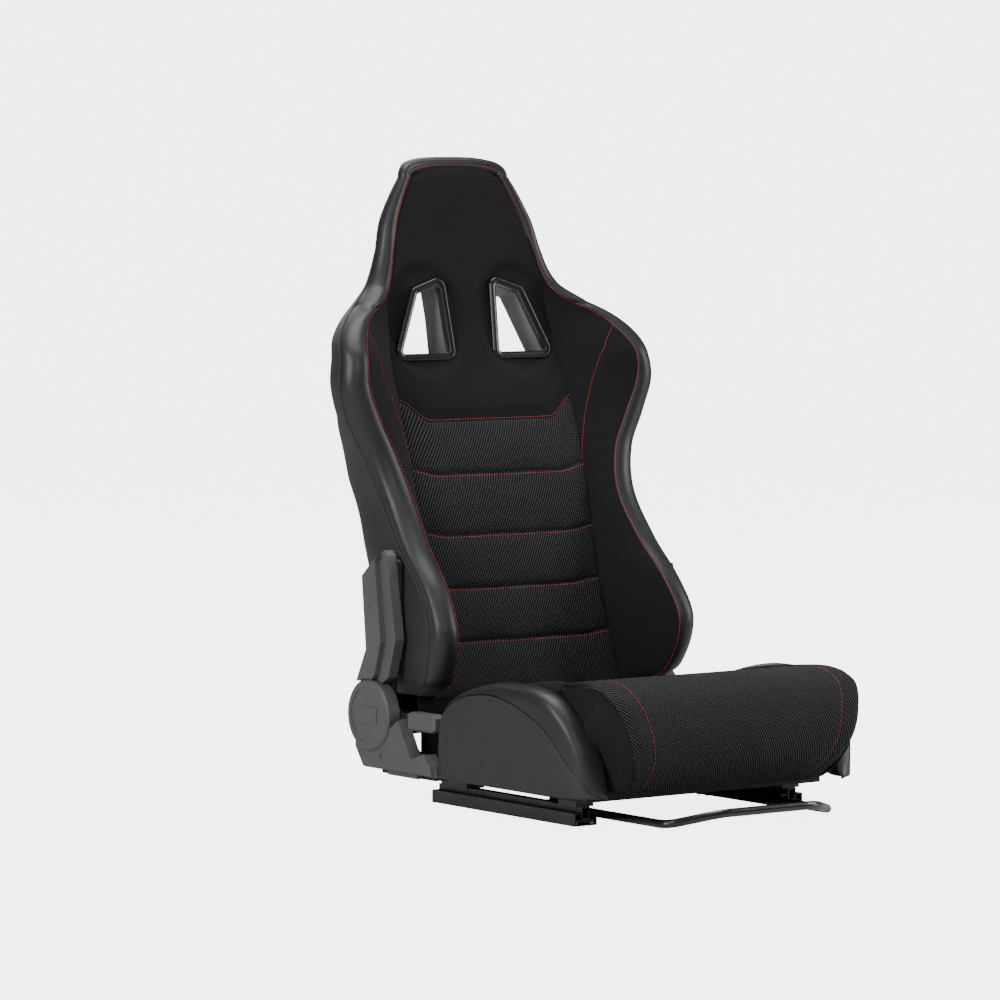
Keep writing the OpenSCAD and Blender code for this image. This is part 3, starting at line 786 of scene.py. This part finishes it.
WING_LOW = 144           # lowest height of the wing cloth
WING_RISE = 646          # from there to its top


def wing_front(a, b):
    """Cloth of a wing from the edge of the middle to the inner seam of the edge roll."""
    z = WING_LOW + WING_RISE * b
    outer = roll_point(z, seam_angle(z))
    inner = Vector((edge_x(z) - 3.0, panel_front(edge_x(z), z) + 4.5, z))
    span = outer - inner
    if span.x < 1:
        return inner + span * a + Vector((0, 0.6, 0))
    p = inner + span * a
    hollow = min(span.length, 90) * 0.075
    fade = smooth_step((b - 0.02) / 0.1) * smooth_step((0.86 - b) / 0.12)
    bulge = hollow * pillow(a, 0.75) * fade
    out = Vector((span.y, -span.x, 0)).normalized()
    return p + out * (1.2 * pillow(a, 0.5) + bulge * 0.35)


# fraction of the way across a wing and height of its curved seam
WING_SEAM = [(0.0, 464), (0.13, 500), (0.27, 545), (0.4, 585), (0.56, 620), (0.74, 644),
             (0.9, 656), (1.0, 662)]


def wing_seam_route():
    return [(a, (straight(WING_SEAM, a) - WING_LOW) / WING_RISE) for a in even(0, 1, 70)]


def wings():
    def dipped(a, b):
        z = WING_LOW + WING_RISE * b
        p = wing_front(a, b)
        dent = 1.6 * bell(z, straight(WING_SEAM, a), 5.5)
        q = wing_front(min(a + 0.02, 1), b) - wing_front(max(a - 0.02, 0), b)
        out = Vector((q.y, -q.x, 0))
        return p - (out.normalized() * dent if out.length > 1e-6 else Vector((0, 0, 0)))

    obj = cloth_grid("wing_cloth_left", 22, 150, dipped, (0.11, 0.64))
    face_towards(obj, (-0.6, -0.8, 0))
    thicken(obj, 9)
    smooth(obj, 60)
    twin = mirrored(obj, "wing_cloth_right")
    finish_piece(obj, "backrest", "woven_cloth", "wing_left", fill=0.7)
    finish_piece(twin, "backrest", "woven_cloth", "wing_right", fill=0.7)
    line = seam_line(dipped, wing_seam_route())
    line = [(p, n if n.y < 0 else -n) for p, n in line]
    shifted = [(p + n * 1.7 + Vector((0, 0, -1.5)), n) for p, n in line]
    side = []
    for z in even(153, 556, 130):
        p = Vector((edge_x(z) + 2.4, panel_front(edge_x(z), z) + 1.4, z))
        side.append((p, Vector((-0.5, -0.86, 0))))
    sew("wing_stitches", "backrest", [shifted, flip(shifted), side, flip(side)])


def plump(z):
    """How far the leather stands out over its foam on the sides of the head."""
    return 6.0 * smooth_step((z - 740) / 80)


REAR_SEAM_ANGLE = 342    # where the leather of the edge roll dips to its rear seam
NECK_FOLD_Z = 699        # crease where the shoulders turn into the head
WRINKLES_Z = 640         # middle of the softly wrinkled stretch below it


def edge_roll():
    """One leather band: up one side, over the head and down the other side."""
    sections = []
    for z in even(149, HEAD_Z, 300):
        start = seam_angle(z)
        ring = []
        for a in even(start - 26, 372, 22):
            p = roll_point(z, a)
            away = math.radians(a)
            between = smooth_step((z - 200) / 60) * smooth_step((600 - z) / 60)
            dent = 1.3 * bell(a, REAR_SEAM_ANGLE, 9.0) * between
            dent += 1.5 * bell(a, start, 5.0) + 0.3 * max(start - a, 0)
            fold = 4.2 * bell(z, NECK_FOLD_Z + 6 * math.sin(away), 2.8)
            fold += 0.5 * math.sin(z / 13.0 + a / 30.0) * bell(z, WRINKLES_Z, 60)
            size = curve(ROLL_LINE, z, 3)
            keep = min((dent + fold) * size / 26, size * 0.3)
            keep -= plump(z) * smooth_step((a - start) / 60)
            ring.append(p - Vector((math.cos(away), math.sin(away), 0)) * keep)
        sections.append(ring)
    for turn in even(3, 90, 36):
        start = seam_angle(HEAD_Z)
        side = 1 - math.sin(math.radians(turn))
        ring = [over_head(turn, a, (2.5 + 3.5 * side) * smooth_step((a - start) / 60)
                          + 7 * (1 - side) * smooth_step((a - 360) / 60))
                for a in even(start - 26, 372 + 78 * smooth_step((turn - 8) / 50), 22)]
        sections.append(ring)
    whole = sections + [[Vector((-p.x, p.y, p.z)) for p in ring] for ring in sections[-2::-1]]

    def place(a, b):
        ring = whole[round(b * (len(whole) - 1))]
        return ring[round(a * (len(ring) - 1))]

    obj = cloth_grid("edge_roll_leather", 22, len(whole) - 1, place, (0.11, 1.9))
    use(obj)
    middle = Vector((0, 0.3, 0.5))
    total = sum((p.center - middle).dot(p.normal) * p.area for p in obj.data.polygons)
    if total < 0:
        obj.data.flip_normals()
    thicken(obj, 4.0)
    smooth(obj, 60)
    finish_piece(obj, "backrest", "edge_leather", "edge_roll_left", "edge_roll_right", "head_cap",
                 fill=0.6)
    line = []
    for z in even(152, HEAD_Z, 330):
        a = seam_angle(z) + 5
        p = roll_point(z, a, 0.15)
        away = math.radians(a)
        line.append((p, Vector((math.cos(away), math.sin(away), 0))))
    for turn in even(3, 90, 60):
        a = seam_angle(HEAD_Z) + 6
        p = over_head(turn, a, 0.2)
        c = over_head(turn, a + 180, 0.2)
        line.append((p, (p - c).normalized()))
    sew("edge_stitches", "backrest", [line, flip(line)])


def back_shell():
    """Smooth vinyl back of the backrest with its turned-in lower edge and belt slots."""
    rows = 120
    heights = even(149, 896, rows)

    def place(a, b):
        z = heights[round(b * rows)]
        turn = math.radians(180 * a)
        w = curve(ROLL_LINE, z, 1) + curve(ROLL_LINE, z, 3)
        e = straight(CORNER_LINE, z)
        x = w * math.copysign(abs(math.cos(turn)) ** (2 / e), math.cos(turn))
        depth = curve(REAR_LINE, z) - curve(ROLL_LINE, z, 2)
        y = curve(ROLL_LINE, z, 2) + max(depth, 6) * math.sin(turn) ** (2 / e)
        return Vector((x, y, z))

    obj = cloth_grid("back_shell_cover", 96, rows, place, (0.9, 0.75))
    face_towards(obj, (0, 1, 0))
    thicken(obj, 7)
    cut_slots(obj, 6.0)
    smooth(obj, 55)
    finish_piece(obj, "backrest", "side_vinyl", "back_shell")
    ridge = []
    for z in even(165, 890, 150):
        x = curve(ROLL_LINE, z, 1) + curve(ROLL_LINE, z, 3)
        ridge.append(Vector((x + 0.1, curve(ROLL_LINE, z, 2) + 1.5, z)))
    piping("shell_edge_piping", ridge, 1.1)


def piping(name, points, radius):
    """A thin round bead along a line on both sides of the backrest."""
    data = bpy.data.curves.new(name, "CURVE")
    data.dimensions = "3D"
    data.bevel_depth = radius * MM
    data.bevel_resolution = 2
    for side in (1, -1):
        run = data.splines.new("POLY")
        run.points.add(len(points) - 1)
        for point, p in zip(run.points, points):
            point.co = (side * p.x * MM, p.y * MM, p.z * MM, 1)
    obj = bpy.data.objects.new(name, data)
    bpy.context.scene.collection.objects.link(obj)
    use(obj)
    bpy.ops.object.convert(target="MESH")
    obj = bpy.context.object
    smooth(obj, 60)
    obj.data.materials.clear()
    obj.data.materials.append(MATERIALS["side_vinyl"])
    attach(obj, "backrest")
    return obj


# ---------------------------------------------------------------- cushion

FRONT_ROLL = ([(-152, 193), (-190, 199), (-222, 200), (-250, 196), (-272, 184), (-285, 165)]
              + [(-196 - 98 * math.cos(math.radians(a)), 126 + 80 * math.sin(math.radians(a)))
                 for a in range(20, -63, -14)]
              + [(-235, 46.4)])
NARROWS_Y = 84           # behind this the cushion middle narrows to pass the recliners
MIDDLE_TOP = [(190, 117), (176, 132), (120, 139), (50, 146), (-20, 157), (-90, 174), (-151.6, 190)]
# Y, top, inner X, outer X and side panel top of the leather bolster
BOLSTER = [(-252, 52, 189, 220, 48), (-246, 64, 192, 225, 50), (-236, 92, 198, 232, 58),
           (-222, 124, 204, 240, 78), (-205, 150, 210, 246, 97), (-175, 176, 214, 252, 130),
           (-140, 188, 215, 255, 150), (-95, 191, 215, 255, 165), (-48, 189, 215, 255, 172),
           (10, 177, 215, 255, 166), (47, 163, 215, 255, 151), (70, 142, 215, 254, 130),
           (80, 118, 216, 251, 106)]


def along_polyline(points, t):
    """Point and length fraction t along a polyline of 2-D points."""
    steps = [math.dist(a, b) for a, b in zip(points, points[1:])]
    run = t * sum(steps)
    for (a, b), step in zip(zip(points, points[1:]), steps):
        if run <= step or (a, b) == (points[-2], points[-1]):
            u = min(run / step, 1) if step else 0
            return (a[0] + (b[0] - a[0]) * u, a[1] + (b[1] - a[1]) * u)
        run -= step
    return points[-1]


def rounded_path(points, samples, passes=3):
    """Evenly spaced points along a polyline, with its corners eased."""
    path = [along_polyline(points, t) for t in even(0, 1, samples)]
    for _ in range(passes):
        path = [path[0]] + [((a[0] + 2 * b[0] + c[0]) / 4, (a[1] + 2 * b[1] + c[1]) / 4)
                            for a, b, c in zip(path, path[1:], path[2:])] + [path[-1]]
    return path


ROLL_ROWS = 60
ROLL_PATH = rounded_path(FRONT_ROLL, ROLL_ROWS, 4)
ROLL_FOOT = (171, 34)    # half width of the front roll at its foot, and that height
ROLL_FLARE = 0.28        # how much it widens per millimetre of height
ROLL_WIDEST = 214


def front_roll_end(z):
    return min(ROLL_FOOT[0] + (z - ROLL_FOOT[1]) * ROLL_FLARE, ROLL_WIDEST)


def roll_cover(a, b):
    """Mesh cover of the cushion's front roll."""
    row = round(b * ROLL_ROWS)
    y, z = ROLL_PATH[row]
    before, after = ROLL_PATH[max(row - 1, 0)], ROLL_PATH[min(row + 1, ROLL_ROWS)]
    ahead = Vector((0, after[0] - before[0], after[1] - before[1])).normalized()
    out = Vector((0, ahead.z, -ahead.y))
    x_unit = 2 * a - 1
    edge = 1 - abs(x_unit)
    drop = 7.0 * bell(edge, 0, 0.035)
    seam = 1.6 * bell(edge, 0.16, 0.012)
    bulge = 3.0 * pillow(b, 0.5)
    return Vector((x_unit * front_roll_end(z), y, z)) + out * (bulge - drop - seam)


def cushion_roll():
    obj = cloth_grid("front_roll_mesh", 96, ROLL_ROWS, roll_cover, (0.41, 0.36))
    face_towards(obj, (0, -1, 0))
    thicken(obj, 12)
    smooth(obj, 70)
    finish_piece(obj, "seat", "mesh_fabric", "cushion_front_roll", fill=0.6)
    lines = []
    for a in (0.086, 0.914):
        line = seam_line(roll_cover, [(a, k / ROLL_ROWS) for k in range(2, ROLL_ROWS - 1)])
        lines.append([(p + n * 0.3, n if n.y <= 0 or n.z > 0 else -n) for p, n in line])
    back = seam_line(roll_cover, [(a, 0.02) for a in even(0.03, 0.97, 110)])
    lines.append([(p + Vector((0, 0, 0.6)), Vector((0, 0, 1))) for p, n in back])
    sew("front_roll_stitches", "seat", lines)


def cushion_top(a, b):
    """Mesh cover of the cushion between the flanks."""
    y, z = along_polyline(MIDDLE_TOP, b)
    half = 190 - 20 * smooth_step((y - NARROWS_Y) / 20)
    x_unit = 2 * a - 1
    puff = 5.0 * pillow(a, 0.4) * pillow(b, 0.35)
    quilt = 1.8 * bell(y, 10, 5)
    return Vector((x_unit * half, y, z + puff - 1 - quilt))


def cushion_middle():
    obj = cloth_grid("cushion_top_mesh", 80, 60, cushion_top, (0.38, 0.36))
    face_towards(obj, (0, 0, 1))
    thicken(obj, 14)
    smooth(obj, 70)
    finish_piece(obj, "seat", "mesh_fabric", "cushion_middle", fill=0.7)
    line = seam_line(cushion_top, [(a, 0.533) for a in even(0.02, 0.98, 90)])
    sew("cushion_top_stitches", "seat", [[(p, Vector((0, 0, 1))) for p, n in line]])


# flank pillow from the underside round the nose and back over the top, as (Y, Z)
FLANK_ROWS = 90
FLANK_PATH = rounded_path([(-228, 48), (-262, 60), (-285, 95), (-290, 126), (-283, 160),
                           (-258, 188), (-222, 199), (-190, 201), (-152, 198), (-100, 194),
                           (-40, 184), (20, 168), (80, 134)], FLANK_ROWS)


def flank_cover(a, b):
    """Puffed woven end of the cushion between the mesh and the leather bolster."""
    y, z = FLANK_PATH[round(b * FLANK_ROWS)]
    target_y, target_z = max(y, -190), min(z, 108)
    blend = smooth_step((y + 175) / 60)
    inner_x = (front_roll_end(z) - 4) * (1 - blend) + 187 * blend
    beside = smooth_step((y + 290) / 60)
    room = straight(BOLSTER, y, 2) - 1 - inner_x
    width = 14.0 * (1 - beside) + min(max(room, 5), 30) * beside
    f = 0.8 * a ** 1.4
    edge = 3.5 * (1 - smooth_step(a / 0.08)) - 3.0 * math.sin(math.pi * min(a * 2.2, 1))
    middle = math.hypot(y - target_y, z - target_z) + 0.001
    f += edge / middle
    x = inner_x + width * (1 - (1 - a) ** 2.6)
    return Vector((x, y + (target_y - y) * f, z + (target_z - z) * f))


CORE_MIDDLE = (-60, 110)  # point towards which the foam is drawn in under its covers


def cushion_core():
    """Foam block under the covers, wrapped in dark cloth."""
    outline = FRONT_ROLL + [(188, 47.5), (188, 115)] + MIDDLE_TOP[1:]
    rings = []
    for x_unit in (-1, -0.5, 0, 0.5, 1):
        ring = []
        for y, z in outline:
            half = front_roll_end(z) if y < -150 else 189 - 19 * smooth_step((y - NARROWS_Y) / 20)
            inside_y = CORE_MIDDLE[0] + (y - CORE_MIDDLE[0]) * 0.972
            inside_z = CORE_MIDDLE[1] + (z - CORE_MIDDLE[1]) * 0.93
            ring.append(Vector((x_unit * (half - 1.5), inside_y, inside_z)))
        rings.append(ring)
    bm = bmesh.new()
    verts = [[bm.verts.new(p * MM) for p in ring] for ring in rings]
    for one, two in zip(verts, verts[1:]):
        bridge(bm, one, two)
    bm.faces.new(verts[0])
    bm.faces.new(verts[-1])
    bmesh.ops.recalc_face_normals(bm, faces=bm.faces[:])
    obj = object_from(bm, "cushion_foam")
    smooth(obj, 30)
    finish_piece(obj, "seat", "woven_cloth")


def cushion_flanks():
    obj = cloth_grid("flank_pillow_left", 22, FLANK_ROWS, flank_cover, (0.05, 0.5))
    face_towards(obj, (0, 0, 1))
    thicken(obj, 6)
    smooth(obj, 70)
    twin = mirrored(obj, "flank_pillow_right")
    finish_piece(obj, "seat", "woven_cloth", "cushion_flank_left", fill=0.6)
    finish_piece(twin, "seat", "woven_cloth", "cushion_flank_right", fill=0.6)


COVER_SPAN = (-251, 80)   # front and rear end of the bolster leather, along Y
PANEL_SPAN = (-250, 79.5)  # the same of its side panel


def bolster_row(y):
    return [curve(BOLSTER, y, c) for c in range(1, 5)]


def bolster_cover(a, b):
    """Leather band over the bolster, from its foot inside over the top to the side panel."""
    y = COVER_SPAN[0] + (COVER_SPAN[1] - COVER_SPAN[0]) * b
    top, xi, xo, panel = bolster_row(y)
    low = min(48, top - 4)
    middle = (xi + xo) / 2
    path = [(xi, low), (xi, top - 7), (xi + 3.5, top - 2.5), (xi + 10, top - 0.4),
            (middle + 1, top + 0.8), (xo - 9, top - 1.2), (xo - 3, top - 5),
            (xo - 0.2, max(top - 12, panel + 1)), (xo + 0.2, panel)]
    x, z = rounded_section(path, a)
    k = nose(b)
    return Vector((middle + (x - middle) * k, y, low + (z - low) * k))


def nose(b):
    """Scale of a bolster section, which closes to a tip at the front."""
    return 0.05 + 0.95 * math.sqrt(smooth_step(b / 0.07))


def rounded_section(path, a):
    """Point at fraction a along a polyline whose corners are eased."""
    points = [along_polyline(path, min(max(a + d, 0), 1)) for d in (-0.03, -0.015, 0, 0.015, 0.03)]
    return (sum(p[0] for p in points) / 5, sum(p[1] for p in points) / 5)


def side_panel(a, b):
    """Flat vinyl on the outside of a bolster."""
    y = PANEL_SPAN[0] + (PANEL_SPAN[1] - PANEL_SPAN[0]) * b
    _, xi, xo, panel = bolster_row(y)
    low = 46.5
    z = low + (max(panel, low + 1) - low) * a * nose(b)
    xo = (xi + xo) / 2 + (xo - xi) / 2 * nose(b)
    return Vector((xo - 0.2 + 0.8 * math.sin(math.pi * a) * min((panel - low) / 60, 1), y, z))


def cushion_bolsters():
    obj = cloth_grid("bolster_leather_left", 40, 110, bolster_cover, (0.19, 0.42))
    face_towards(obj, (0.2, 0, 1))
    thicken(obj, 5)
    smooth(obj, 60)
    twin = mirrored(obj, "bolster_leather_right")
    finish_piece(obj, "seat", "edge_leather", "cushion_bolster_left", fill=0.6)
    finish_piece(twin, "seat", "edge_leather", "cushion_bolster_right", fill=0.6)
    panel = cloth_grid("bolster_side_left", 20, 90, side_panel, (0.12, 0.33))
    face_towards(panel, (1, 0, 0))
    thicken(panel, 3.5)
    smooth(panel, 50)
    twin = mirrored(panel, "bolster_side_right")
    finish_piece(panel, "seat", "side_vinyl", "bolster_panel_left")
    finish_piece(twin, "seat", "side_vinyl", "bolster_panel_right")


# ---------------------------------------------------------------- the whole seat

SKIRT = [(205, 151), (200, 128), (212, 99), (239, 87), (267, 99), (284, 125), (294, 158)]


def hinge_skirt():
    """Cloth skirt that closes the foot of the backrest round the hinge line."""
    def place(a, b):
        y, z = along_polyline(path, b)
        return Vector((198 * (2 * a - 1), y, z))

    path = rounded_path(SKIRT, 40, 6)
    obj = cloth_grid("hinge_skirt_cloth", 40, 40, place, (0.4, 0.2))
    face_towards(obj, (0, 0, -1))
    thicken(obj, 2.0)
    smooth(obj, 60)
    finish_piece(obj, "backrest", "woven_cloth")


def rear_side_cloths():
    """Cloth walls that close the cushion's sides behind the bolsters."""
    def place(a, b):
        puff = 1.5 * math.sin(math.pi * a) * math.sin(math.pi * b)
        return Vector((200 + puff, 80 + 115 * a, 47 + 60 * b))

    obj = cloth_grid("rear_side_cloth_left", 24, 12, place, (0.12, 0.06))
    face_towards(obj, (1, 0, 0))
    thicken(obj, 2.0)
    smooth(obj, 60)
    twin = mirrored(obj, "rear_side_cloth_right")
    finish_piece(obj, "seat", "woven_cloth")
    finish_piece(twin, "seat", "woven_cloth")


def build():
    dress_cad_nodes()
    middle_panel()
    upper_pad()
    slot_trims()
    wings()
    edge_roll()
    back_shell()
    hinge_skirt()
    rear_side_cloths()
    cushion_core()
    cushion_roll()
    cushion_middle()
    cushion_flanks()
    cushion_bolsters()
    studio()
    aim_camera()


build()
